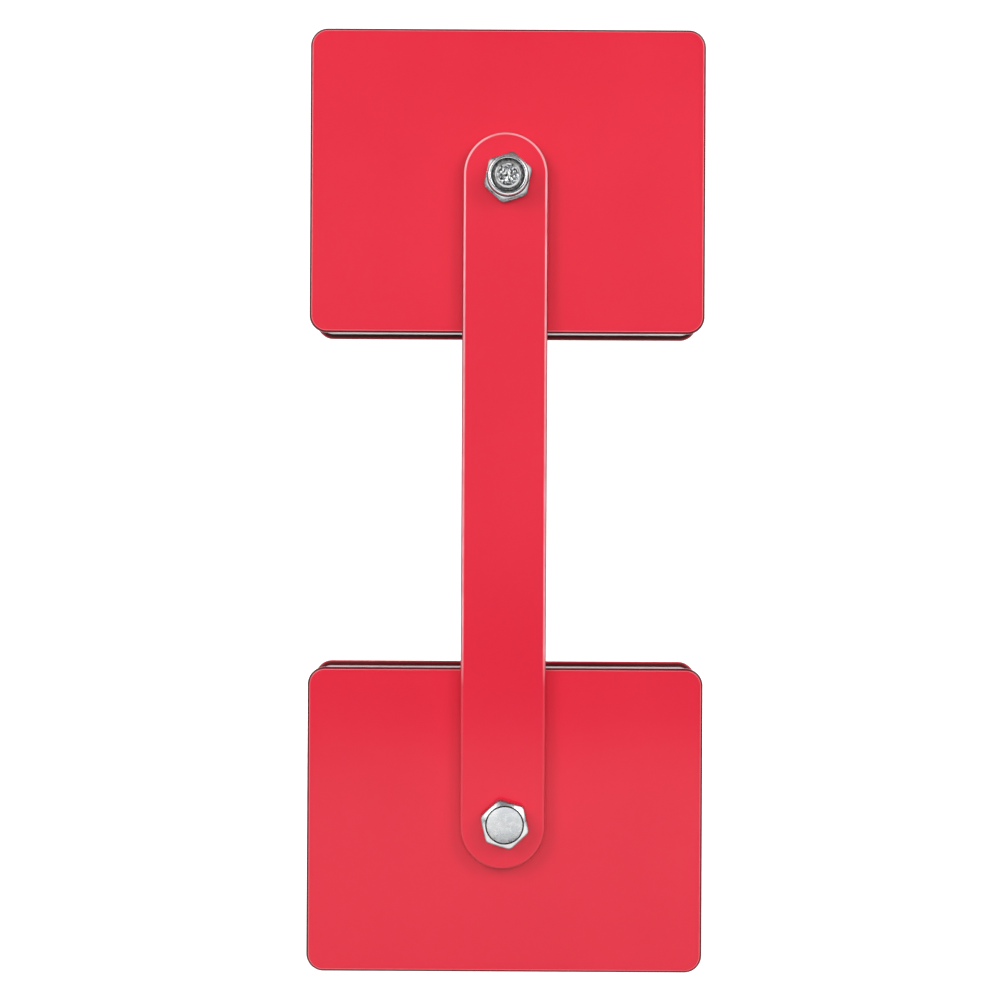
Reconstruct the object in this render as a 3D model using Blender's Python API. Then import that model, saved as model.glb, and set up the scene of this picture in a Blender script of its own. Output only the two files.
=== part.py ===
"""Welding magnet holder: two magnet heads joined by a pair of link arms.

Each head is a sandwich of two red steel pole plates around an aluminium spacer
frame, a pivot sleeve and four ferrite blocks. One M6 bolt runs through the
middle of each head and through the ends of both arms, so each head turns about
its bolt. The two bolts are fitted from opposite sides: the lower one has its
head at the front, the upper one has its lock nut at the front.

Metres. +Z runs along the arms, -Y is the front, and the lower head stands on
z = 0 with the part's middle at x = 0 and y = 0.
"""

import math

import bmesh
import bpy

# Magnet heads.
HEAD_WIDTH = 0.091
HEAD_HEIGHT = 0.070
HEAD_DEPTH = 0.024
PLATE_THICKNESS = 0.002
PLATE_CORNER_RADIUS = 0.004
PLATE_CHAMFER = 0.0003

# Link arms. Their round ends reach a little further than a half circle about the pivot, and
# both arms' holes lie a little off their middle line.
PIVOT_SPACING = 0.147
ARM_WIDTH = 0.0195
ARM_THICKNESS = 0.003
ARM_CHAMFER = 0.0004
ARM_END_SHIFT = 0.001
ARM_SIDE_SHIFT = -0.0005

# Inside of a head.
GLUE_LINE = 0.0003
SPACER_RECESS = 0.0011
SPACER_WALL = 0.003
SPACER_INNER_RADIUS = 0.001
SLEEVE_OUTER_RADIUS = 0.006
MAGNET_WIDTH = 0.030
MAGNET_HEIGHT = 0.060
MAGNET_CHAMFER = 0.0005
MAGNET_LAYERS = 2

# Friction washers between the plates and the arms.
WASHER_RADIUS = 0.007
WASHER_THICKNESS = 0.0006

# M6 bolt and lock nut with a nylon ring. Pieces that touch keep RUNNING_GAP between them.
RUNNING_GAP = 0.0003
BORE_RADIUS = 0.0033
SHANK_RADIUS = 0.00295
THREAD_RADIUS = 0.0027
THREAD_LENGTH = 0.018
TIP_CHAMFER = 0.0007
BOLT_LENGTH = 0.040
ACROSS_FLATS = 0.010
CROWN_RADIUS = 0.0044
CROWN_SLOPE = math.tan(math.radians(30))
BOLT_HEAD_HEIGHT = 0.004
NUT_HEIGHT = 0.006
NUT_HEX_HEIGHT = 0.0043
NUT_BORE_RADIUS = 0.0030
COLLAR_RADIUS = 0.0046
COLLAR_MOUTH_RADIUS = 0.0037
COLLAR_LIP = 0.0005
POCKET_FLOOR = 0.0039
POCKET_RADIUS = 0.0042

# Turn of each hexagon about its bolt, as a corner's angle seen from the piece's outer side.
LOWER_HEAD_TURN = math.radians(43)
LOWER_NUT_TURN = math.radians(8)
UPPER_HEAD_TURN = math.radians(25)
UPPER_NUT_TURN = math.radians(18)

# Fineness of round shapes.
CORNER_STEPS = 5
ARM_END_STEPS = 20
ROUND_STEPS = 24
SHARP_ANGLE = math.radians(30)
SAME_POINT = 1e-7

# Where things lie along Y, measured outwards from the middle of the part.
PLATE_MIDDLE = HEAD_DEPTH / 2 - PLATE_THICKNESS / 2
CORE_DEPTH = HEAD_DEPTH - 2 * PLATE_THICKNESS - 2 * GLUE_LINE
WASHER_MIDDLE = HEAD_DEPTH / 2 + RUNNING_GAP + WASHER_THICKNESS / 2
ARM_MIDDLE = WASHER_MIDDLE + WASHER_THICKNESS / 2 + RUNNING_GAP + ARM_THICKNESS / 2
SEAT = ARM_MIDDLE + ARM_THICKNESS / 2 + RUNNING_GAP

LOWER_PIVOT_HEIGHT = HEAD_HEIGHT / 2
UPPER_PIVOT_HEIGHT = LOWER_PIVOT_HEIGHT + PIVOT_SPACING
FRONT, REAR = -1, 1


def clear_scene():
    """Remove whatever the scene holds."""
    for thing in list(bpy.data.objects):
        bpy.data.objects.remove(thing)


def material(name, colour, roughness, metallic):
    """A Principled material with one colour."""
    made = bpy.data.materials.new(name)
    made.use_nodes = True
    shader = made.node_tree.nodes["Principled BSDF"]
    shader.inputs["Base Color"].default_value = (*colour, 1.0)
    shader.inputs["Roughness"].default_value = roughness
    shader.inputs["Metallic"].default_value = metallic
    return made


def rounded_rectangle(width, height, radius):
    """Outline in X and Z about the origin, anticlockwise, with round corners."""
    outline = []
    for corner in range(4):
        diagonal = math.pi / 4 + corner * math.pi / 2
        centre_x = math.copysign(width / 2 - radius, math.cos(diagonal))
        centre_z = math.copysign(height / 2 - radius, math.sin(diagonal))
        for step in range(CORNER_STEPS + 1):
            angle = (corner + step / CORNER_STEPS) * math.pi / 2
            outline.append((centre_x + radius * math.cos(angle), centre_z + radius * math.sin(angle)))
    return outline


def arm_outline():
    """Outline in X and Z of a link arm, anticlockwise, about its middle."""
    radius = ARM_WIDTH / 2
    centre = PIVOT_SPACING / 2 + ARM_END_SHIFT
    outline = []
    for end, start_angle in ((1, 0.0), (-1, math.pi)):
        for step in range(ARM_END_STEPS + 1):
            angle = start_angle + math.pi * step / ARM_END_STEPS
            outline.append((radius * math.cos(angle), end * centre + radius * math.sin(angle)))
    return outline


def slab(outline, depth, chamfer=0.0):
    """Mesh of an outline in X and Z, thickened along Y about y = 0, with its rims chamfered."""
    mesh = bmesh.new()
    face = mesh.faces.new([mesh.verts.new((x, -depth / 2, z)) for x, z in outline])
    extruded = bmesh.ops.extrude_face_region(mesh, geom=[face])["geom"]
    moved = [item for item in extruded if isinstance(item, bmesh.types.BMVert)]
    bmesh.ops.translate(mesh, vec=(0, depth, 0), verts=moved)
    if chamfer:
        rims = [edge for edge in mesh.edges if abs(edge.verts[0].co.y - edge.verts[1].co.y) < SAME_POINT]
        bmesh.ops.bevel(mesh, geom=rims, offset=chamfer, segments=1, profile=0.5, affect="EDGES")
    return mesh


def ring(outer, inner, depth):
    """Mesh between two outlines with as many points each, thickened along Y about y = 0."""
    mesh = bmesh.new()
    loops = []
    for outline, y in ((outer, -depth / 2), (outer, depth / 2), (inner, depth / 2), (inner, -depth / 2)):
        loops.append([mesh.verts.new((x, y, z)) for x, z in outline])
    count = len(outer)
    for index, loop in enumerate(loops):
        following = loops[(index + 1) % len(loops)]
        for step in range(count):
            after = (step + 1) % count
            mesh.faces.new((loop[step], loop[after], following[after], following[step]))
    return mesh


def circle(radius):
    """Outline of a circle in X and Z about the origin."""
    angles = [2 * math.pi * step / ROUND_STEPS for step in range(ROUND_STEPS)]
    return [(radius * math.cos(angle), radius * math.sin(angle)) for angle in angles]


def turned(profile, closed):
    """Mesh turned about Y from (radius, y) points; a closed profile makes a ring."""
    mesh = bmesh.new()
    points = [mesh.verts.new((radius, y, 0)) for radius, y in profile]
    pairs = list(zip(points, points[1:]))
    if closed:
        pairs.append((points[-1], points[0]))
    edges = [mesh.edges.new(pair) for pair in pairs]
    bmesh.ops.spin(
        mesh,
        geom=points + edges,
        cent=(0, 0, 0),
        axis=(0, 1, 0),
        angle=2 * math.pi,
        steps=ROUND_STEPS,
        use_merge=True,
    )
    bmesh.ops.remove_doubles(mesh, verts=mesh.verts, dist=SAME_POINT)
    return mesh


def solid(name, mesh, finish, parent, location, turn=0.0):
    """An object of a mesh, facing out, under its parent empty, turned about Y."""
    bmesh.ops.recalc_face_normals(mesh, faces=mesh.faces)
    data = bpy.data.meshes.new(name)
    mesh.to_mesh(data)
    mesh.free()
    data.shade_smooth()
    data.set_sharp_from_angle(angle=SHARP_ANGLE)
    if finish:
        data.materials.append(finish)
    made = bpy.data.objects.new(name, data)
    bpy.context.scene.collection.objects.link(made)
    made.parent = parent
    made.location = location
    made.rotation_euler = (0, turn, 0)
    return made


def cutter(name, outline, parent, turn=0.0):
    """A bar along Y, longer than the part is deep, that only shapes other pieces."""
    made = solid(name, slab(outline, 3 * HEAD_DEPTH), None, parent, (0, 0, 0), turn)
    made.hide_render = True
    made.display_type = "WIRE"
    return made


def boolean(target, tool, operation):
    """Shape an object with a cutter."""
    modifier = target.modifiers.new(tool.name, "BOOLEAN")
    modifier.operation = operation
    modifier.solver = "EXACT"
    modifier.object = tool


def empty(name, height):
    """An empty on the middle plane at a height."""
    made = bpy.data.objects.new(name, None)
    bpy.context.scene.collection.objects.link(made)
    made.location = (0, 0, height)
    return made


def hexagon():
    """Outline of the M6 hexagon, with a corner on +X."""
    radius = ACROSS_FLATS / 2 / math.cos(math.pi / 6)
    angles = [math.pi / 3 * corner for corner in range(6)]
    return [(radius * math.cos(angle), radius * math.sin(angle)) for angle in angles]


def crowned(radius, top, side):
    """Profile points of a hexagon's crown that falls from a flat of a radius at y = top."""
    past_corner = ACROSS_FLATS * 0.6
    return [(radius, top), (past_corner, top - side * (past_corner - radius) * CROWN_SLOPE)]


def bolt_profile(side):
    """Half section of a bolt whose head lies on one side and whose tip lies on the other."""
    crown = crowned(CROWN_RADIUS, side * (SEAT + BOLT_HEAD_HEIGHT), side)
    under_head = side * SEAT
    tip = under_head - side * BOLT_LENGTH
    thread_start = tip + side * THREAD_LENGTH
    return [
        (0, side * (SEAT + BOLT_HEAD_HEIGHT)),
        *crown,
        (crown[1][0], under_head),
        (SHANK_RADIUS, under_head),
        (SHANK_RADIUS, thread_start),
        (THREAD_RADIUS, thread_start),
        (THREAD_RADIUS, tip + side * TIP_CHAMFER),
        (THREAD_RADIUS - TIP_CHAMFER, tip),
        (0, tip),
    ]


def nut_profile(side):
    """Half section of a lock nut seated on one side: hexagon, collar, and pocket for the ring."""
    def out(height):
        return side * (SEAT + height)

    crown = crowned(COLLAR_RADIUS, out(NUT_HEX_HEIGHT), side)
    foot = crowned(CROWN_RADIUS + COLLAR_LIP, out(0), -side)
    return [
        foot[0],
        foot[1],
        crown[1],
        crown[0],
        (COLLAR_RADIUS, out(NUT_HEIGHT - 2 * COLLAR_LIP)),
        (COLLAR_RADIUS - COLLAR_LIP, out(NUT_HEIGHT)),
        (COLLAR_MOUTH_RADIUS, out(NUT_HEIGHT)),
        (COLLAR_MOUTH_RADIUS, out(NUT_HEIGHT - COLLAR_LIP)),
        (POCKET_RADIUS, out(NUT_HEIGHT - COLLAR_LIP)),
        (POCKET_RADIUS, out(POCKET_FLOOR)),
        (NUT_BORE_RADIUS, out(POCKET_FLOOR)),
        (NUT_BORE_RADIUS, out(COLLAR_LIP)),
        (NUT_BORE_RADIUS + COLLAR_LIP, out(0)),
    ]


def magnet_head(name, pivot, bore, finishes):
    """Plates, spacer frame, sleeve and ferrite blocks of one head, about its pivot."""
    plate = rounded_rectangle(HEAD_WIDTH, HEAD_HEIGHT, PLATE_CORNER_RADIUS)
    for place, side in (("front", FRONT), ("rear", REAR)):
        made = solid(
            f"{name}_{place}_plate",
            slab(plate, PLATE_THICKNESS, PLATE_CHAMFER),
            finishes["red paint"],
            pivot,
            (0, side * PLATE_MIDDLE, 0),
        )
        boolean(made, bore, "DIFFERENCE")

    width = HEAD_WIDTH - 2 * SPACER_RECESS
    height = HEAD_HEIGHT - 2 * SPACER_RECESS
    outer = rounded_rectangle(width, height, PLATE_CORNER_RADIUS - SPACER_RECESS)
    inner = rounded_rectangle(width - 2 * SPACER_WALL, height - 2 * SPACER_WALL, SPACER_INNER_RADIUS)
    frame = ring(outer, inner, CORE_DEPTH)
    solid(f"{name}_spacer_frame", frame, finishes["aluminium"], pivot, (0, 0, 0))

    sleeve = ring(circle(SLEEVE_OUTER_RADIUS), circle(BORE_RADIUS), CORE_DEPTH)
    solid(f"{name}_pivot_sleeve", sleeve, finishes["zinc"], pivot, (0, 0, 0))

    pitch = (CORE_DEPTH + GLUE_LINE) / MAGNET_LAYERS
    thickness = pitch - GLUE_LINE
    shift = width / 2 - SPACER_WALL - GLUE_LINE - MAGNET_WIDTH / 2
    block = rounded_rectangle(MAGNET_WIDTH, MAGNET_HEIGHT, SPACER_INNER_RADIUS)
    for layer, y in (("front", -pitch / 2), ("rear", pitch / 2)):
        for hand, x in (("left", -shift), ("right", shift)):
            solid(
                f"{name}_{layer}_{hand}_magnet",
                slab(block, thickness, MAGNET_CHAMFER),
                finishes["ferrite"],
                pivot,
                (x, y, 0),
            )


def link_arm(name, side, link, bores, finishes):
    """A flat bar with round ends, bored at both pivots."""
    made = solid(
        name,
        slab(arm_outline(), ARM_THICKNESS, ARM_CHAMFER),
        finishes["red paint"],
        link,
        (ARM_SIDE_SHIFT, side * ARM_MIDDLE, 0),
    )
    for bore in bores:
        boolean(made, bore, "DIFFERENCE")


def pivot_fasteners(name, side, height, turns, link, finishes):
    """The bolt, lock nut, nylon ring and friction washers of one pivot.

    The bolt's head lies on the given side and the nut on the other.
    """
    at = (0, 0, height)
    head_turn, nut_turn = turns

    made = solid(f"{name}_pivot_bolt", turned(bolt_profile(side), False), finishes["zinc"], link, at)
    boolean(made, cutter(f"{name}_bolt_hexagon", hexagon(), made, side * head_turn), "INTERSECT")

    made = solid(f"{name}_lock_nut", turned(nut_profile(-side), True), finishes["zinc"], link, at)
    boolean(made, cutter(f"{name}_nut_hexagon", hexagon(), made, -side * nut_turn), "INTERSECT")

    ring_depth = NUT_HEIGHT - COLLAR_LIP - POCKET_FLOOR - 2 * RUNNING_GAP
    ring_middle = SEAT + POCKET_FLOOR + RUNNING_GAP + ring_depth / 2
    nylon = ring(circle(POCKET_RADIUS - RUNNING_GAP), circle(NUT_BORE_RADIUS), ring_depth)
    solid(f"{name}_nut_nylon_ring", nylon, finishes["nylon"], link, (0, -side * ring_middle, height))

    for place, washer_side in (("front", FRONT), ("rear", REAR)):
        washer = ring(circle(WASHER_RADIUS), circle(BORE_RADIUS), WASHER_THICKNESS)
        spot = (0, washer_side * WASHER_MIDDLE, height)
        solid(f"{name}_{place}_friction_washer", washer, finishes["nylon"], link, spot)


def build():
    """Make the whole part."""
    clear_scene()
    finishes = {
        "red paint": material("red paint", (0.80, 0.036, 0.065), 0.35, 0.0),
        "zinc": material("zinc plated steel", (0.72, 0.73, 0.74), 0.3, 1.0),
        "aluminium": material("aluminium", (0.76, 0.77, 0.78), 0.4, 1.0),
        "ferrite": material("ferrite", (0.045, 0.045, 0.05), 0.6, 0.0),
        "nylon": material("nylon", (0.25, 0.25, 0.245), 0.5, 0.0),
    }

    link = empty("link", LOWER_PIVOT_HEIGHT + PIVOT_SPACING / 2)
    lower_pivot = empty("lower_pivot_axis", LOWER_PIVOT_HEIGHT)
    upper_pivot = empty("upper_pivot_axis", UPPER_PIVOT_HEIGHT)
    lower_bore = cutter("lower_bore", circle(BORE_RADIUS), lower_pivot)
    upper_bore = cutter("upper_bore", circle(BORE_RADIUS), upper_pivot)

    magnet_head("lower_head", lower_pivot, lower_bore, finishes)
    magnet_head("upper_head", upper_pivot, upper_bore, finishes)

    link_arm("front_link_arm", FRONT, link, (lower_bore, upper_bore), finishes)
    link_arm("rear_link_arm", REAR, link, (lower_bore, upper_bore), finishes)

    lower_turns = (LOWER_HEAD_TURN, LOWER_NUT_TURN)
    upper_turns = (UPPER_HEAD_TURN, UPPER_NUT_TURN)
    pivot_fasteners("lower", FRONT, -PIVOT_SPACING / 2, lower_turns, link, finishes)
    pivot_fasteners("upper", REAR, PIVOT_SPACING / 2, upper_turns, link, finishes)


build()
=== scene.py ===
"""Looks of the welding magnet holder: fine meshes, materials, stage, light and camera.

Metres, in the CAD model's frame: +Z along the link arms, -Y the front. Every
visible CAD node is replaced by a finer piece of the same size; the ferrite
blocks and pivot sleeves inside the heads keep their CAD shapes.
"""

import math

import bmesh
import bpy
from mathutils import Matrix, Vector, noise


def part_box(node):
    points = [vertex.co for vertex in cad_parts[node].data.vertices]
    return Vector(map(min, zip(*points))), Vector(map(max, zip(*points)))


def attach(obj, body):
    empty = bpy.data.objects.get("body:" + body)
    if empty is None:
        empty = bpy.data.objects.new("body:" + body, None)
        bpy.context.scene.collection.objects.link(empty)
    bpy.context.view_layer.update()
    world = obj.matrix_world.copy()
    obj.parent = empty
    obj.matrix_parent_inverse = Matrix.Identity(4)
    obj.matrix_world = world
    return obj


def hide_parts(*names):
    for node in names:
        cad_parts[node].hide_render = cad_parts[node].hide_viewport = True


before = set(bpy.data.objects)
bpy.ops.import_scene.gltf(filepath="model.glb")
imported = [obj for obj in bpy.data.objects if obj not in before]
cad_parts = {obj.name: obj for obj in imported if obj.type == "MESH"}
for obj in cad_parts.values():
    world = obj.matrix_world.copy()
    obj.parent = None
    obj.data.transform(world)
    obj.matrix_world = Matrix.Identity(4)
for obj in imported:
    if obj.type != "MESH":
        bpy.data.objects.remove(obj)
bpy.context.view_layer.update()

# Rounding of the painted steel, and sizes that the CAD boxes don't give.
PLATE_CORNER_RADIUS = 0.004
PLATE_RIM = 0.00065
ARM_RIM = 0.00075
ARM_END_SHIFT = 0.001
PAINTED_BORE_RADIUS = 0.0033
BORE_RIM = 0.0002
SPACER_WALL = 0.003
SPACER_INNER_RADIUS = 0.001
SPACER_RIM = 0.00025
WASHER_RIM = 0.00015

# Edge values by the angle in degrees round an edge, from the face that shows: positive for a painted
# highlight, negative for painted shade.
# On the plates: a thin painted highlight, then painted shade over the rim, and painted shade on the inner
# face.
PLATE_PAINTED_LIGHT = (
    (0, 0.0), (11, 0.7), (22, -0.8), (34, -1.0), (70, -1.0), (90, -0.4), (135, -0.3), (160, -1.0),
)
# On the arms: a painted highlight along the rounded edge, then painted shade at its outer part.
ARM_PAINTED_LIGHT = ((0, 0.0), (11, 0.8), (22, 1.0), (45, 0.9), (56, -0.8), (79, -0.8), (90, -0.4))

# M6 fasteners.
ACROSS_FLATS = 0.010
HEXAGON_CORNER_RADIUS = 0.0011
CROWN_RADIUS = 0.0044
CROWN_SLOPE = math.tan(math.radians(30))
CROWN_DISH = 0.00010
CROWN_INSET = 0.00035
CROWN_GROOVE_WIDTH = 0.00034
CROWN_GROOVE_DEPTH = 0.00018
WASHER_FACE_RADIUS = 0.0047
WASHER_FACE_HEIGHT = 0.00025
BOLT_LENGTH = 0.040
THREAD_LENGTH = 0.018
SHANK_RADIUS = 0.00295
THREAD_ROOT_RADIUS = 0.00242
THREAD_PITCH = 0.001
THREAD_CLEARANCE = 0.00005
THREAD_FLANK = 2.6
THREAD_CREST = 0.15
TIP_RADIUS = 0.00255
TIP_CHAMFER = 0.0004
TIP_ROUGHNESS = 0.00014
TIP_DISH = 0.000308
TIP_GRAIN = 1600
TIP_RINGS = 22
HEAD_HEIGHT = 0.004
NUT_HEIGHT = 0.006
NUT_HEX_HEIGHT = 0.0043
COLLAR_RADIUS = 0.0046
COLLAR_ROLL = 0.0005
COLLAR_MOUTH_RADIUS = 0.0037
POCKET_RADIUS = 0.0042
POCKET_FLOOR = 0.0039
NYLON_BORE_RADIUS = 0.00297
NYLON_TOP_RADIUS = 0.00338
NYLON_STEP = 0.0009
NYLON_ROUGHNESS = 0.00014
RING_STEPS = 6
HEXAGON_BEVEL = 0.00015

# Turn of each hexagon, as a corner's angle seen from the piece's outer side.
BOLT_TURN = {"lower": math.radians(43), "upper": math.radians(25)}
NUT_TURN = {"lower": math.radians(8), "upper": math.radians(18)}

# Fineness.
CORNER_STEPS = 14
ARM_END_STEPS = 56
RIM_STEPS = 8
ROUND_STEPS = 96
ROWS_PER_PITCH = 12
SHARP_ANGLE = math.radians(35)

# Camera: level, at the part's mid height, in front of the plates.
CAMERA_DISTANCE = 0.530
VIEW_WIDTH = 0.2303
CAMERA_SIDE_SHIFT = -0.0013
CAMERA_ROLL = math.radians(0.3)
SENSOR_WIDTH = 36.0

# The floor's height, low enough for the lower head to turn right round above it.
FLOOR = -0.022

# Strength of the sky's soft light and of the paper's own.
SKY_ABOVE = 0.36
SKY_BELOW = 0.08
SWEEP_GLOW = 0.8
SURROUND_GLOW = 1.0

lower_plate_low, lower_plate_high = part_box("lower_head_front_plate")
upper_plate_low, upper_plate_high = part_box("upper_head_front_plate")
PIVOT_HEIGHT = {
    "lower": (lower_plate_low.z + lower_plate_high.z) / 2,
    "upper": (upper_plate_low.z + upper_plate_high.z) / 2,
}
PIVOT_SPACING = PIVOT_HEIGHT["upper"] - PIVOT_HEIGHT["lower"]
MID_HEIGHT = (PIVOT_HEIGHT["upper"] + PIVOT_HEIGHT["lower"]) / 2
FRONT_FACE = lower_plate_low.y
SEAT = abs(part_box("lower_pivot_bolt")[0].y) - HEAD_HEIGHT
SIDE = {"front": -1, "rear": 1}


# Outlines in X and Z, anticlockwise, inset by a distance.

def rounded_rectangle(width, height, radius, inset=0.0):
    """Points of a rectangle with round corners about the origin."""
    radius = max(radius - inset, 1e-5)
    half_x = width / 2 - inset - radius
    half_z = height / 2 - inset - radius
    points = []
    for corner in range(4):
        diagonal = math.pi / 4 + corner * math.pi / 2
        centre_x = math.copysign(half_x, math.cos(diagonal))
        centre_z = math.copysign(half_z, math.sin(diagonal))
        for step in range(CORNER_STEPS + 1):
            angle = (corner + step / CORNER_STEPS) * math.pi / 2
            points.append((centre_x + radius * math.cos(angle), centre_z + radius * math.sin(angle)))
    return points


def arm_outline(width, inset=0.0):
    """Points of a bar with round ends about the origin."""
    radius = width / 2 - inset
    centre = PIVOT_SPACING / 2 + ARM_END_SHIFT
    points = []
    for end, start in ((1, 0.0), (-1, math.pi)):
        for step in range(ARM_END_STEPS + 1):
            angle = start + math.pi * step / ARM_END_STEPS
            points.append((radius * math.cos(angle), end * centre + radius * math.sin(angle)))
    return points


def circle(radius, centre_z=0.0, steps=ROUND_STEPS):
    """Points of a circle."""
    angles = [2 * math.pi * step / steps for step in range(steps)]
    return [(radius * math.cos(angle), centre_z + radius * math.sin(angle)) for angle in angles]


def interpolate(value, points):
    """The value at a place on a line of straight stretches through (place, value) points."""
    for (start, first), (end, second) in zip(points, points[1:]):
        if value <= end:
            return first + (second - first) * (value - start) / (end - start)
    return points[-1][1]


# Meshes. Each vertex's "edge" value tells the materials where light and shade are painted: up to 1
# for a painted highlight along a rounded edge, down to -1 for painted shade.

class Shell:
    """A mesh made from loops of points joined by quads."""

    def __init__(self):
        self.mesh = bmesh.new()
        self.edge = self.mesh.verts.layers.float.new("edge")

    def loop(self, points, y, edge=0.0):
        """A loop with a height y and an edge value, either of them one value or one for each point."""
        heights = y if isinstance(y, list) else [y] * len(points)
        edges = edge if isinstance(edge, list) else [edge] * len(points)
        made = []
        for (x, z), height, value in zip(points, heights, edges):
            vertex = self.mesh.verts.new((x, height, z))
            vertex[self.edge] = value
            made.append(vertex)
        return made

    def bridge(self, loops, closed=False):
        """Quads between each loop and the next."""
        pairs = list(zip(loops, loops[1:]))
        if closed:
            pairs.append((loops[-1], loops[0]))
        for first, second in pairs:
            count = len(first)
            for step in range(count):
                after = (step + 1) % count
                self.mesh.faces.new((first[step], first[after], second[after], second[step]))

    def fill(self, loops):
        """A flat face inside the first loop and outside the others."""
        edges = []
        for loop in loops:
            for start, end in zip(loop, loop[1:] + loop[:1]):
                edges.append(self.mesh.edges.get((start, end)) or self.mesh.edges.new((start, end)))
        bmesh.ops.triangle_fill(self.mesh, edges=edges, use_beauty=True)

    def piece(self, name, location=(0, 0, 0)):
        """The finished object, smooth except along sharp edges."""
        bmesh.ops.recalc_face_normals(self.mesh, faces=self.mesh.faces)
        data = bpy.data.meshes.new(name)
        self.mesh.to_mesh(data)
        self.mesh.free()
        data.shade_smooth()
        data.set_sharp_from_angle(angle=SHARP_ANGLE)
        made = bpy.data.objects.new(name, data)
        made.location = location
        bpy.context.scene.collection.objects.link(made)
        return made


def rim(low, high, radius, edge=None):
    """(inset, y, edge) of each loop round the rounded edge of a slab, from low to high y.

    edge(angle) gives the vertices' edge value, with the angle going from 0 on
    the face at low y over a right angle on the side to pi on the face at high y.
    """
    loops = []
    for start, height, towards in ((0.0, low, 1), (math.pi / 2, high, -1)):
        for step in range(RIM_STEPS + 1):
            angle = start + math.pi / 2 * step / RIM_STEPS
            inset = radius * (1 - math.sin(angle))
            y = height + towards * radius * (1 - abs(math.cos(angle)))
            loops.append((inset, y, edge(angle) if edge else 0.0))
    return loops


def slab(outline, bores, low, high, radius, edge):
    """A plate of an outline(inset), with rounded rims and round bores given as (z, radius)."""
    shell = Shell()
    loops = [shell.loop(outline(inset), y, thin) for inset, y, thin in rim(low, high, radius, edge)]
    shell.bridge(loops)
    fronts, backs = [loops[0]], [loops[-1]]
    for z, bore in bores:
        steps = rim(low, high, BORE_RIM, edge)
        walls = [shell.loop(circle(bore + inset, z), y, thin) for inset, y, thin in steps]
        shell.bridge(walls)
        fronts.append(walls[0])
        backs.append(walls[-1])
    shell.fill(fronts)
    shell.fill(backs)
    return shell


def tube(outer, inner, low, high, radius):
    """A ring between outer(inset) and inner(inset) outlines, with rounded rims."""
    shell = Shell()
    loops = [shell.loop(outer(inset), y) for inset, y, _ in rim(low, high, radius)]
    loops += [shell.loop(inner(-inset), y) for inset, y, _ in reversed(rim(low, high, radius))]
    shell.bridge(loops, closed=True)
    return shell


def weighted_normals(piece):
    """Keeps broad flat faces flat next to their rounded edges."""
    modifier = piece.modifiers.new("flat faces", "WEIGHTED_NORMAL")
    modifier.keep_sharp = True
    modifier.weight = 100


def bevel(piece, width):
    """Softens a piece's sharp edges."""
    modifier = piece.modifiers.new("soft edges", "BEVEL")
    modifier.width = width
    modifier.segments = 2
    modifier.limit_method = "ANGLE"
    modifier.angle_limit = math.radians(24)
    modifier.harden_normals = True


# Fasteners.

def hexagon_radius(from_corner):
    """Distance from the middle to the side of the round-cornered hexagon, at an angle from a corner."""
    away = abs((from_corner + math.pi / 6) % (math.pi / 3) - math.pi / 6)
    round_off = HEXAGON_CORNER_RADIUS
    centre = (ACROSS_FLATS / 2 - round_off) / math.cos(math.pi / 6)
    tangent_angle = math.atan2(round_off * math.sin(math.pi / 6), centre + round_off * math.cos(math.pi / 6))
    if away < tangent_angle:
        return centre * math.cos(away) + math.sqrt(round_off ** 2 - (centre * math.sin(away)) ** 2)
    return ACROSS_FLATS / 2 / math.cos(math.pi / 6 - away)


def thread_depth(angle, y):
    """Share of its full depth that a right-hand thread about Y is cut to, flat on crests and roots."""
    phase = (y / THREAD_PITCH + angle / (2 * math.pi)) % 1.0
    return min(1.0, max(0.0, THREAD_FLANK * abs(phase - 0.5) - THREAD_CREST))


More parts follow.
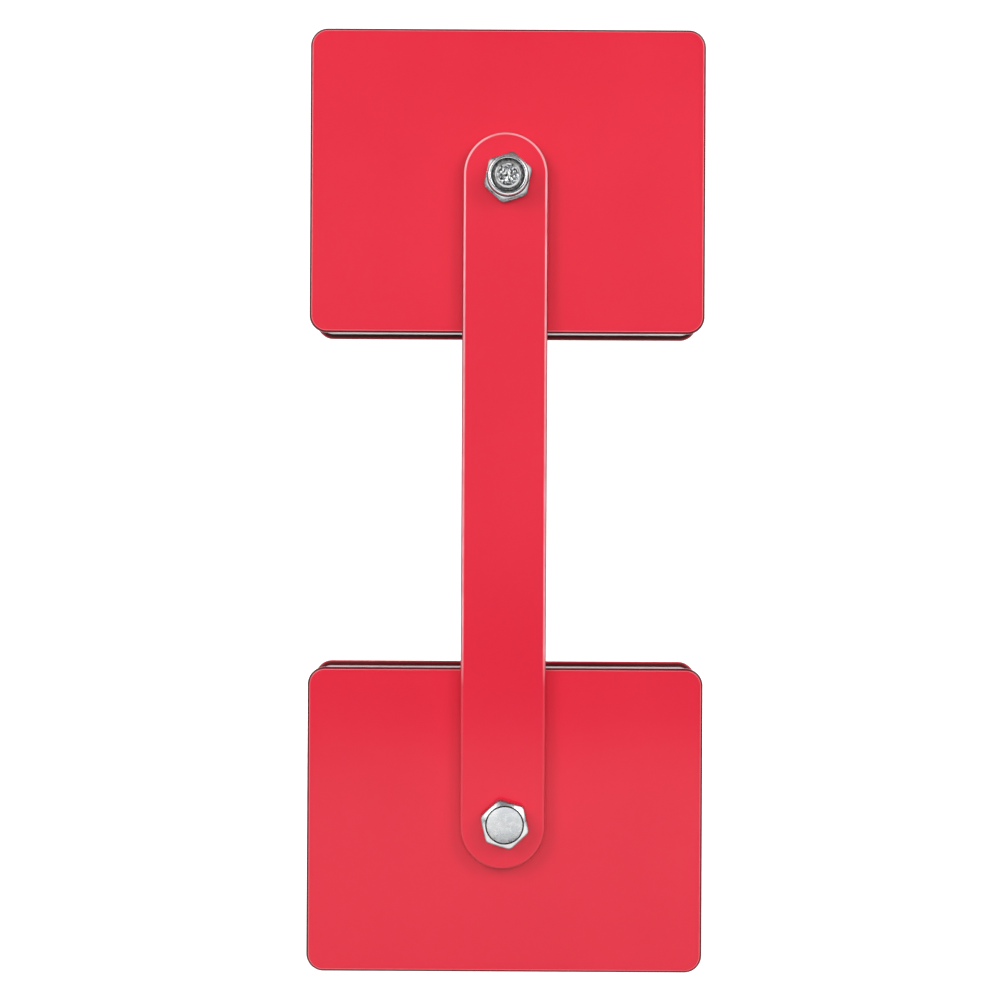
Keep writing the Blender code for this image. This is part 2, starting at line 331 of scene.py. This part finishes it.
class Fastener:
    """Loops about Y, with heights measured outwards from the seat on one side."""

    def __init__(self, side, turn):
        self.shell = Shell()
        self.side = side
        self.loops = []
        steps = [2 * math.pi * step / ROUND_STEPS for step in range(ROUND_STEPS)]
        self.hexagon_radii = [hexagon_radius(step) for step in steps]
        self.angles = [step - side * turn for step in steps]

    def y(self, height):
        """Where a height above the seat lies along Y."""
        return self.side * (SEAT + height)

    def loop(self, radii, heights, edge=0.0):
        """A loop with a radius and a height in each direction; an edge of -1 is painted shade in a crease."""
        around = zip(radii, self.angles)
        points = [(radius * math.cos(angle), radius * math.sin(angle)) for radius, angle in around]
        self.loops.append(self.shell.loop(points, [self.y(height) for height in heights], edge))

    def round(self, radius, height, edge=0.0):
        """A round, level loop."""
        self.loop([radius] * ROUND_STEPS, [height] * ROUND_STEPS, edge)

    def hexagon(self, height):
        """A level hexagonal loop."""
        self.loop(self.hexagon_radii, [height] * ROUND_STEPS)

    def crown(self, height, flat_radius, rise=-CROWN_SLOPE):
        """Hexagonal loops on a cone that starts from a flat of a radius, with painted shade towards the outer
        one.
        """
        for inset, edge in sorted(((CROWN_INSET, 0.0), (0.0, -0.8)), reverse=rise < 0):
            radii = [radius - inset for radius in self.hexagon_radii]
            self.loop(radii, [height + rise * (radius - flat_radius) for radius in radii], edge)

    def thread(self, start, end, outer, root, limit):
        """Threaded loops between two heights, with painted shade in the roots, and no wider than
        limit(height).
        """
        rows = round(abs(end - start) / THREAD_PITCH * ROWS_PER_PITCH)
        for row in range(rows + 1):
            height = start + (end - start) * row / rows
            depths = [thread_depth(angle, self.y(height)) for angle in self.angles]
            radii = [min(limit(height), outer - (outer - root) * depth) for depth in depths]
            self.loop(radii, [height] * ROUND_STEPS, [-0.8 * depth for depth in depths])

    def torn(self, radius, depth, share):
        """Depths of a torn surface round a circle."""
        depths = []
        for angle in self.angles:
            place = Vector((radius * math.cos(angle), radius * math.sin(angle), 0.0)) * TIP_GRAIN
            depths.append(depth * share * noise.fractal(place, 0.9, 2.0, 4))
        return depths

    def torn_face(self, radius, height, outwards):
        """Rings of a roughly sheared, dished end, from its rim to its middle."""
        for ring in range(1, TIP_RINGS):
            at = radius * (1 - ring / TIP_RINGS)
            share = min(1.0, 0.4 + 5 * ring / TIP_RINGS)
            torn = self.torn(at, TIP_ROUGHNESS, share)
            heights = [height + outwards * (rise - TIP_DISH * share) for rise in torn]
            # Painted shade in the low spots of the torn end.
            hollow_shade = [-min(1.0, max(0.0, 0.3 - 2.2 * rise / TIP_ROUGHNESS)) for rise in torn]
            self.loop([at] * ROUND_STEPS, heights, hollow_shade)

    def torn_ring(self, outer, inner, height):
        """Rings of a scored ring, from its outside to its bore."""
        for ring in range(RING_STEPS + 1):
            at = outer + (inner - outer) * ring / RING_STEPS
            heights = [height - max(0.0, torn) for torn in self.torn(at, NYLON_ROUGHNESS, 1.0)]
            self.loop([at] * ROUND_STEPS, heights)

    def close(self, last, height):
        """Fills a loop with a fan to the middle."""
        middle = self.shell.mesh.verts.new((0, self.y(height), 0))
        for start, end in zip(last, last[1:] + last[:1]):
            self.shell.mesh.faces.new((start, end, middle))


# Pieces.

def finish_piece(piece, body, node, material):
    """Makes a piece ride on its body in place of its CAD node."""
    piece.data.materials.append(material)
    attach(piece, body)
    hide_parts(node)


def pole_plate(pivot, place, paint):
    """A steel pole plate, with a painted highlight and painted shade on its rims and painted shade on the
    side that faces the magnets.
    """
    node = f"{pivot}_head_{place}_plate"
    low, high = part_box(node)
    size = high - low

    def outline(inset):
        return rounded_rectangle(size.x, size.z, PLATE_CORNER_RADIUS, inset)

    # Painted highlight and painted shade round the rims, and painted shade on the inner face.
    def edge(angle):
        degrees = math.degrees(angle if place == "front" else math.pi - angle)
        return interpolate(degrees, PLATE_PAINTED_LIGHT)

    shell = slab(outline, [(0.0, PAINTED_BORE_RADIUS)], low.y, high.y, PLATE_RIM, edge)
    piece = shell.piece(f"{pivot}_{place}_pole_plate", (0, 0, PIVOT_HEIGHT[pivot]))
    weighted_normals(piece)
    finish_piece(piece, f"{pivot}_head", node, paint)


def link_arm(place, paint):
    """A painted flat bar with round ends."""
    node = f"{place}_link_arm"
    low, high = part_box(node)
    middle_x = (low.x + high.x) / 2

    def outline(inset):
        return [(middle_x + x, z) for x, z in arm_outline(high.x - low.x, inset)]

    # Painted highlight and painted shade round the arm's rims, by the angle round them.
    def edge(angle):
        degrees = math.degrees(math.asin(min(1.0, math.sin(angle))))
        return interpolate(degrees, ARM_PAINTED_LIGHT)

    bores = [(end * PIVOT_SPACING / 2, PAINTED_BORE_RADIUS) for end in (-1, 1)]
    shell = slab(outline, bores, low.y, high.y, ARM_RIM, edge)
    piece = shell.piece(f"{place}_arm", (0, 0, MID_HEIGHT))
    weighted_normals(piece)
    finish_piece(piece, "link", node, paint)


def spacer_frame(pivot, metal):
    """The aluminium frame between a head's plates."""
    node = f"{pivot}_head_spacer_frame"
    low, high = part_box(node)
    size = high - low
    outer_radius = PLATE_CORNER_RADIUS - (lower_plate_high.x - high.x)

    def outer(inset):
        return rounded_rectangle(size.x, size.z, outer_radius, inset)

    def inner(inset):
        width, height = size.x - 2 * SPACER_WALL, size.z - 2 * SPACER_WALL
        return rounded_rectangle(width, height, SPACER_INNER_RADIUS, inset)

    shell = tube(outer, inner, low.y, high.y, SPACER_RIM)
    piece = shell.piece(f"{pivot}_spacer", (0, 0, PIVOT_HEIGHT[pivot]))
    weighted_normals(piece)
    finish_piece(piece, f"{pivot}_head", node, metal)


def friction_washer(pivot, place, plastic):
    """A thin washer between a plate and an arm."""
    node = f"{pivot}_{place}_friction_washer"
    low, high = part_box(node)
    radius = (high.x - low.x) / 2

    def outer(inset):
        return circle(radius - inset)

    def inner(inset):
        return circle(PAINTED_BORE_RADIUS - inset)

    shell = tube(outer, inner, low.y, high.y, WASHER_RIM)
    piece = shell.piece(f"{pivot}_{place}_washer", (0, 0, PIVOT_HEIGHT[pivot]))
    finish_piece(piece, "link", node, plastic)


def pivot_bolt(pivot, side, zinc):
    """A cold-forged hexagon bolt with a ring pressed round its crown, a rolled thread and a sheared end."""
    bolt = Fastener(side, BOLT_TURN[pivot])
    groove = CROWN_RADIUS - CROWN_GROOVE_WIDTH
    for share in (0.05, 0.4, 0.75, 0.95, 1.0):
        bolt.round(groove * share, HEAD_HEIGHT - CROWN_DISH * (1 - share ** 4))
    # Painted shade in the groove pressed round the crown.
    bolt.round(groove + 0.2 * CROWN_GROOVE_WIDTH, HEAD_HEIGHT - CROWN_GROOVE_DEPTH, -1.0)
    bolt.round(groove + 0.8 * CROWN_GROOVE_WIDTH, HEAD_HEIGHT - CROWN_GROOVE_DEPTH, -1.0)
    bolt.round(CROWN_RADIUS, HEAD_HEIGHT)
    bolt.crown(HEAD_HEIGHT, CROWN_RADIUS)
    bolt.hexagon(WASHER_FACE_HEIGHT)
    bolt.round(WASHER_FACE_RADIUS, WASHER_FACE_HEIGHT)
    bolt.round(WASHER_FACE_RADIUS, 0)
    bolt.round(SHANK_RADIUS + 0.0002, 0)
    bolt.round(SHANK_RADIUS, -0.0002)

    thread_start = THREAD_LENGTH - BOLT_LENGTH
    chamfer_slope = (SHANK_RADIUS - TIP_RADIUS) / TIP_CHAMFER

    def limit(height):
        return TIP_RADIUS + chamfer_slope * (height + BOLT_LENGTH)

    bolt.thread(thread_start, -BOLT_LENGTH, SHANK_RADIUS, THREAD_ROOT_RADIUS, limit)
    bolt.torn_face(TIP_RADIUS, -BOLT_LENGTH, -1)
    bolt.shell.bridge(bolt.loops)
    bolt.close(bolt.loops[0], HEAD_HEIGHT - CROWN_DISH)
    bolt.close(bolt.loops[-1], TIP_DISH - BOLT_LENGTH)

    piece = bolt.shell.piece(f"{pivot}_bolt", (0, 0, PIVOT_HEIGHT[pivot]))
    bevel(piece, HEXAGON_BEVEL)
    finish_piece(piece, "link", f"{pivot}_pivot_bolt", zinc)


def lock_nut(pivot, side, zinc):
    """A hexagon nut with a rolled collar over its nylon ring, and a thread that fits the bolt's."""
    nut = Fastener(side, NUT_TURN[pivot])
    foot_radius = CROWN_RADIUS + COLLAR_ROLL
    nut.round(foot_radius, 0)
    nut.crown(0, foot_radius, rise=CROWN_SLOPE)
    nut.crown(NUT_HEX_HEIGHT, COLLAR_RADIUS)
    nut.round(COLLAR_RADIUS + 0.00024, NUT_HEX_HEIGHT)
    # Painted shade in the crease where the collar rises from the hexagon.
    nut.round(COLLAR_RADIUS + 0.00012, NUT_HEX_HEIGHT, -1.0)
    nut.round(COLLAR_RADIUS, NUT_HEX_HEIGHT + 0.00015, -1.0)
    nut.round(COLLAR_RADIUS, NUT_HEX_HEIGHT + 0.0004, -0.1)
    roll_middle = COLLAR_RADIUS - COLLAR_ROLL
    # The rolled lip, with painted shade low on its outer side.
    for step in range(9):
        angle = math.radians(105) * step / 8
        radius = roll_middle + COLLAR_ROLL * math.cos(angle)
        height = NUT_HEIGHT - COLLAR_ROLL + COLLAR_ROLL * math.sin(angle)
        nut.round(radius, height, 0.4 * min(0.0, step / 3 - 1))
    nut.round(COLLAR_MOUTH_RADIUS + 0.00014, NUT_HEIGHT - 0.00008)
    # Painted shade down the collar's mouth.
    nut.round(COLLAR_MOUTH_RADIUS + 0.00008, NUT_HEIGHT - 0.00014, -1.0)
    nut.round(COLLAR_MOUTH_RADIUS, NUT_HEIGHT - 0.00026, -1.0)
    nut.round(COLLAR_MOUTH_RADIUS, NUT_HEIGHT - COLLAR_ROLL, -1.0)
    nut.round(POCKET_RADIUS, NUT_HEIGHT - COLLAR_ROLL)
    nut.round(POCKET_RADIUS, POCKET_FLOOR)
    outer, root = SHANK_RADIUS + THREAD_CLEARANCE, THREAD_ROOT_RADIUS + THREAD_CLEARANCE
    nut.round(outer + 0.0001, POCKET_FLOOR)
    nut.thread(POCKET_FLOOR - 0.0001, COLLAR_ROLL, outer, root, lambda height: outer)
    nut.round(outer + COLLAR_ROLL, 0)
    nut.shell.bridge(nut.loops, closed=True)

    piece = nut.shell.piece(f"{pivot}_nut", (0, 0, PIVOT_HEIGHT[pivot]))
    bevel(piece, HEXAGON_BEVEL)
    finish_piece(piece, "link", f"{pivot}_lock_nut", zinc)


def nylon_ring(pivot, side, plastic):
    """The ring that grips the thread inside a nut's collar, cut slightly as the thread went through."""
    node = f"{pivot}_nut_nylon_ring"
    low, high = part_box(node)
    radius = (high.x - low.x) / 2
    bottom, top = (abs(edge) - SEAT for edge in sorted((low.y, high.y), key=abs))
    nylon = Fastener(side, 0.0)
    nylon.round(NYLON_BORE_RADIUS, bottom)
    nylon.round(radius, bottom)
    nylon.round(radius, top - NYLON_STEP)
    nylon.round(NYLON_TOP_RADIUS + 0.0001, top - NYLON_STEP)
    nylon.round(NYLON_TOP_RADIUS, top - 0.0001)
    nylon.torn_ring(NYLON_TOP_RADIUS - 0.0001, NYLON_BORE_RADIUS + 0.00005, top)
    nylon.round(NYLON_BORE_RADIUS, top - 0.00015)
    nylon.shell.bridge(nylon.loops, closed=True)
    piece = nylon.shell.piece(f"{pivot}_locking_ring", (0, 0, PIVOT_HEIGHT[pivot]))
    finish_piece(piece, "link", node, plastic)


# Materials.

class Nodes:
    """Builds a material's nodes: each call makes one node and returns it."""

    def __init__(self, name):
        self.material = bpy.data.materials.new(name)
        self.material.use_nodes = True
        self.tree = self.material.node_tree
        self.shader = self.tree.nodes["Principled BSDF"]

    def make(self, kind, settings=None, **inputs):
        """A node with its settings, and with a value or a link on each input."""
        node = self.tree.nodes.new(kind)
        for key, value in (settings or {}).items():
            setattr(node, key, value)
        for key, value in inputs.items():
            socket = node.inputs[key.replace("_", " ")]
            if isinstance(value, bpy.types.NodeSocket):
                self.tree.links.new(value, socket)
            else:
                socket.default_value = value
        return node

    def set(self, name, value):
        """Puts a value or a link on one of the shader's sockets."""
        socket = self.shader.inputs[name]
        if isinstance(value, bpy.types.NodeSocket):
            self.tree.links.new(value, socket)
        else:
            socket.default_value = value

    def coordinates(self, scale=(1, 1, 1)):
        """The piece's own coordinates in metres, stretched by a scale."""
        place = self.make("ShaderNodeTexCoord").outputs["Object"]
        return self.make("ShaderNodeMapping", Vector=place, Scale=scale).outputs["Vector"]

    def edge(self):
        """The vertices' edge values."""
        return self.make("ShaderNodeAttribute", {"attribute_name": "edge"}).outputs["Fac"]

    def product(self, first, second):
        """Two values multiplied."""
        made = self.make("ShaderNodeMath", {"operation": "MULTIPLY"})
        self.tree.links.new(first, made.inputs[0])
        self.tree.links.new(second, made.inputs[1])
        return made.outputs["Value"]

    def noise(self, vector, scale, detail=2.0, roughness=0.5):
        """Cloudy noise from 0 to 1."""
        made = self.make("ShaderNodeTexNoise", Vector=vector, Scale=scale, Detail=detail, Roughness=roughness)
        return made.outputs["Fac"]

    def spread(self, value, low, high, to_low, to_high):
        """Maps a value's range to another, clamped."""
        made = self.make(
            "ShaderNodeMapRange",
            Value=value,
            From_Min=low,
            From_Max=high,
            To_Min=to_low,
            To_Max=to_high,
        )
        return made.outputs["Result"]

    def mix(self, share, first, second):
        """A colour between two."""
        made = self.make("ShaderNodeMix", {"data_type": "RGBA"})
        values = {("Factor", "VALUE"): share, ("A", "RGBA"): first, ("B", "RGBA"): second}
        for socket in made.inputs:
            value = values.get((socket.name, socket.type))
            if isinstance(value, bpy.types.NodeSocket):
                self.tree.links.new(value, socket)
            elif value is not None:
                socket.default_value = value
        return next(socket for socket in made.outputs if socket.type == "RGBA")

    def bump(self, height, distance, strength=1.0, normal=None):
        """A normal tilted by a height, on top of another normal if one is given."""
        inputs = {"Height": height, "Distance": distance, "Strength": strength}
        if normal:
            inputs["Normal"] = normal
        return self.make("ShaderNodeBump", **inputs).outputs["Normal"]


def red_paint(name, painted_light_from=None):
    """Satin red enamel with a fine orange peel, and a painted highlight then painted shade over rounded
    edges.

    Below a given height, the painted highlight and shade are faint.
    """
    n = Nodes(name)
    place = n.coordinates()
    broad = n.spread(n.noise(place, 28, 2), 0.35, 0.65, 0.0, 1.0)
    field = n.mix(broad, (0.745, 0.010, 0.037, 1), (0.77, 0.013, 0.041, 1))
    edge = n.edge()
    if painted_light_from is not None:
        # Fades the painted highlight and shade below this height.
        height = n.make("ShaderNodeSeparateXYZ", Vector=place).outputs["Z"]
        edge = n.product(edge, n.spread(height, painted_light_from - 0.004, painted_light_from + 0.004, 0.06, 1.0))
    # Painted highlight: pale pink over the positive edge values, broken up by noise.
    highlight_noise = n.spread(n.noise(place, 160, 3), 0.3, 0.7, 0.6, 1.0)
    bright = n.mix(n.spread(edge, 0.0, 1.0, 0.0, highlight_noise), field, (0.92, 0.42, 0.47, 1))
    # Painted shade: near-black red over the negative edge values.
    with_painted_shade = n.mix(n.spread(edge, -1.0, 0.0, 0.97, 0.0), bright, (0.055, 0.004, 0.006, 1))
    n.set("Base Color", with_painted_shade)
    n.set("Roughness", n.spread(n.noise(place, 240, 3), 0.3, 0.7, 0.36, 0.46))
    peel = n.bump(n.noise(place, 780, 2, 0.45), 0.00002, 0.35)
    fine = n.bump(n.noise(place, 3600, 2, 0.5), 0.000004, 0.3, peel)
    n.set("Normal", fine)
    n.set("Specular IOR Level", 0.2)
    # No coat where painted shade lies, so that it stays dark.
    n.set("Coat Weight", n.spread(edge, -1.0, 0.0, 0.0, 0.6))
    n.set("Coat Roughness", 0.16)
    n.set("Coat IOR", 1.5)
    return n.material


def zinc_plate():
    """Bright zinc on forged steel: cloudy passivation, tool rings, small pits, and painted shade in creases.
    """
    n = Nodes("bright zinc plate")
    place = n.coordinates()
    cloud = n.spread(n.noise(place, 420, 4, 0.6), 0.35, 0.68, 0.0, 1.0)
    plated = n.mix(cloud, (0.575, 0.60, 0.62, 1), (0.72, 0.73, 0.73, 1))
    # Painted shade: near black over the negative edge values, in creases, grooves and thread roots.
    crease_shade = n.spread(n.edge(), -1.0, 0.0, 1.0, 0.0)
    n.set("Base Color", n.mix(crease_shade, plated, (0.03, 0.028, 0.026, 1)))
    n.set("Metallic", 1.0)
    n.set("Roughness", n.spread(n.noise(place, 900, 4, 0.6), 0.3, 0.7, 0.2, 0.38))
    rings = n.make(
        "ShaderNodeTexWave",
        {"wave_type": "RINGS", "rings_direction": "Y"},
        Vector=place,
        Scale=900,
        Distortion=2.0,
        Detail=2.0,
    ).outputs["Fac"]
    turned = n.bump(rings, 0.000004, 0.25)
    pits = n.bump(n.noise(place, 1600, 4, 0.65), 0.00002, 0.35, turned)
    n.set("Normal", pits)
    return n.material


def bare_aluminium():
    """Aluminium brushed along its edge, with a few scuffs."""
    n = Nodes("brushed aluminium")
    along = n.coordinates((60, 5200, 60))
    place = n.coordinates()
    lines = n.noise(along, 1.0, 5, 0.6)
    cloud = n.spread(n.noise(place, 90, 4, 0.6), 0.35, 0.65, 0.0, 1.0)
    n.set("Base Color", n.mix(cloud, (0.60, 0.61, 0.62, 1), (0.70, 0.70, 0.70, 1)))
    n.set("Metallic", 1.0)
    n.set("Roughness", n.spread(lines, 0.25, 0.75, 0.26, 0.46))
    brushed = n.bump(lines, 0.00001, 0.5)
    n.set("Normal", n.bump(n.noise(place, 1300, 3, 0.6), 0.000012, 0.25, brushed))
    return n.material


def ferrite():
    """Sintered ceramic magnet: dark grey, ground and slightly grainy."""
    n = Nodes("ferrite")
    place = n.coordinates()
    grain = n.noise(place, 1500, 4, 0.7)
    ground = n.spread(grain, 0.3, 0.7, 0.0, 1.0)
    n.set("Base Color", n.mix(ground, (0.035, 0.035, 0.038, 1), (0.07, 0.07, 0.075, 1)))
    n.set("Roughness", n.spread(n.noise(place, 200, 3), 0.3, 0.7, 0.5, 0.7))
    n.set("Normal", n.bump(grain, 0.00004, 0.5))
    return n.material


def grey_nylon():
    """Grey nylon, smeared and scored."""
    n = Nodes("grey nylon")
    place = n.coordinates()
    smear = n.spread(n.noise(place, 1900, 3, 0.6), 0.42, 0.6, 0.0, 1.0)
    n.set("Base Color", n.mix(smear, (0.07, 0.07, 0.07, 1), (0.36, 0.36, 0.355, 1)))
    n.set("Roughness", n.spread(n.noise(place, 900, 3), 0.3, 0.7, 0.3, 0.5))
    n.set("Normal", n.bump(smear, 0.00003, 0.6))
    return n.material


def paper(name, glow):
    """Matt studio paper, lit through from behind so that shadows on it stay faint."""
    n = Nodes(name)
    place = n.coordinates()
    n.set("Base Color", n.mix(n.noise(place, 6, 3), (0.44, 0.44, 0.44, 1), (0.47, 0.47, 0.47, 1)))
    n.set("Roughness", 0.9)
    n.set("Emission Color", (1, 1, 1, 1))
    n.set("Emission Strength", glow)
    return n.material


def black_card():
    """Matt black card."""
    n = Nodes("black card")
    place = n.coordinates()
    n.set("Base Color", n.mix(n.noise(place, 40, 2), (0.03, 0.03, 0.03, 1), (0.05, 0.05, 0.05, 1)))
    n.set("Roughness", 0.9)
    return n.material


# Stage, light and camera.

def sheet(name, rows, material, unseen_by):
    """A sheet of the stage between rows of points, which some kinds of ray pass through."""
    mesh = bmesh.new()
    lines = [[mesh.verts.new(point) for point in row] for row in rows]
    for first, second in zip(lines, lines[1:]):
        for step in range(len(first) - 1):
            mesh.faces.new((first[step], first[step + 1], second[step + 1], second[step]))
    data = bpy.data.meshes.new(name)
    mesh.to_mesh(data)
    mesh.free()
    data.shade_smooth()
    data.materials.append(material)
    made = bpy.data.objects.new(name, data)
    for rays in unseen_by:
        setattr(made, f"visible_{rays}", False)
    bpy.context.scene.collection.objects.link(made)


def sweep():
    """Floor and backdrop in one sheet of paper that curves up behind the part."""
    half_width, front, back, height, curve, steps = 2.5, -2.5, 1.6, 2.2, 0.6, 12
    profile = [(front, FLOOR), (back - curve, FLOOR)]
    for step in range(1, steps + 1):
        angle = math.pi / 2 * step / steps
        profile.append((back - curve + curve * math.sin(angle), FLOOR + curve - curve * math.cos(angle)))
    profile.append((back, height))
    rows = [[(x, y, z) for y, z in profile] for x in (-half_width, half_width)]
    sheet("paper_sweep", rows, paper("sweep paper", SWEEP_GLOW), ("diffuse",))


def surround():
    """A round paper wall far out on every side, there for the camera only."""
    radius, height, steps = 2.4, 2.2, 64
    angles = [2 * math.pi * step / steps for step in range(steps + 1)]
    wall = [(radius * math.cos(angle), radius * math.sin(angle)) for angle in angles]
    rows = [[(x, y, z) for x, y in wall] for z in (FLOOR, height)]
    unseen_by = ("diffuse", "glossy", "transmission", "volume_scatter", "shadow")
    sheet("paper_surround", rows, paper("surround paper", SURROUND_GLOW), unseen_by)


def flag():
    """A dark card before the part that only its gloss sees, as a studio sets one up."""
    distance, half_width, low, high = 0.47, 0.24, 0.004, 0.6
    rows = [[(x, FRONT_FACE - distance, z) for x in (-half_width, half_width)] for z in (low, high)]
    unseen_by = ("camera", "diffuse", "transmission", "volume_scatter", "shadow")
    sheet("black_card", rows, black_card(), unseen_by)


def softbox(name, location, target, size, power):
    """A rectangular area light that faces a target and that the camera doesn't see."""
    data = bpy.data.lights.new(name, "AREA")
    data.shape = "RECTANGLE"
    data.size, data.size_y = size
    data.energy = power
    made = bpy.data.objects.new(name, data)
    made.location = location
    made.rotation_euler = (Vector(target) - Vector(location)).to_track_quat("-Z", "Y").to_euler()
    made.visible_camera = False
    bpy.context.scene.collection.objects.link(made)
    return made


def sky():
    """Soft light from all round, weaker from below."""
    world = bpy.data.worlds.new("studio")
    world.use_nodes = True
    nodes, links = world.node_tree.nodes, world.node_tree.links
    direction = nodes.new("ShaderNodeTexCoord").outputs["Generated"]
    split = nodes.new("ShaderNodeSeparateXYZ")
    links.new(direction, split.inputs["Vector"])
    strength = nodes.new("ShaderNodeMapRange")
    links.new(split.outputs["Z"], strength.inputs["Value"])
    strength.inputs["From Min"].default_value = -0.3
    strength.inputs["From Max"].default_value = 0.5
    strength.inputs["To Min"].default_value = SKY_BELOW
    strength.inputs["To Max"].default_value = SKY_ABOVE
    links.new(strength.outputs["Result"], nodes["Background"].inputs["Strength"])
    nodes["Background"].inputs["Color"].default_value = (1, 1, 1, 1)
    bpy.context.scene.world = world


def lights():
    """Fill lights before and behind, softboxes and panels at both sides, and lights for the backdrop."""
    middle = (0, 0, MID_HEIGHT)
    for name, y, z, power in (("front", -1.3, 0.24, 7.2), ("rear", 1.1, 0.45, 7.5)):
        fill = softbox(f"{name}_fill", (0, y, z), middle, (0.8, 0.44), power)
        fill.visible_glossy = False
    for name, side, power in (("left", -1, 2.9), ("right", 1, 2.4)):
        softbox(f"{name}_softbox", (0.50 * side, -0.72, 0.45), middle, (0.30, 0.45), power)
        panel = softbox(f"{name}_panel", (0.80 * side, -0.40, 0.62), (0, 0, 0.25), (0.7, 0.9), 2.7)
        panel.visible_diffuse = False
        softbox(f"{name}_backdrop_light", (0.9 * side, 0.75, 0.9), (0, 1.6, 0.25), (0.5, 0.5), 9.0)


def camera():
    """A level view of the front."""
    data = bpy.data.cameras.new("camera")
    data.type = "PERSP"
    data.sensor_width = SENSOR_WIDTH
    data.lens = SENSOR_WIDTH * CAMERA_DISTANCE / VIEW_WIDTH
    data.clip_start = 0.01
    made = bpy.data.objects.new("camera", data)
    made.location = (CAMERA_SIDE_SHIFT, FRONT_FACE - CAMERA_DISTANCE, MID_HEIGHT)
    made.rotation_euler = (math.pi / 2, -CAMERA_ROLL, 0)
    bpy.context.scene.collection.objects.link(made)
    bpy.context.scene.camera = made


def build():
    """Makes every piece, the stage, the light and the camera."""
    bpy.context.scene.view_settings.view_transform = "Standard"
    zinc, aluminium, nylon = zinc_plate(), bare_aluminium(), grey_nylon()
    plate_paint = red_paint("plate enamel")
    # The arm's painted highlight and shade fade out below the lower head's top.
    arm_paint = red_paint("arm enamel", painted_light_from=lower_plate_high.z - MID_HEIGHT)
    for pivot in ("lower", "upper"):
        for place in ("front", "rear"):
            pole_plate(pivot, place, plate_paint)
            friction_washer(pivot, place, nylon)
        spacer_frame(pivot, aluminium)
    for place in ("front", "rear"):
        link_arm(place, arm_paint)
    for pivot, head_side in (("lower", SIDE["front"]), ("upper", SIDE["rear"])):
        pivot_bolt(pivot, head_side, zinc)
        lock_nut(pivot, -head_side, zinc)
        nylon_ring(pivot, -head_side, nylon)

    hidden = {"magnet": ferrite(), "sleeve": zinc}
    for name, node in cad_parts.items():
        for word, material in hidden.items():
            if name.endswith(word):
                node.data.materials.clear()
                node.data.materials.append(material)

    sweep()
    surround()
    flag()
    sky()
    lights()
    camera()


build()
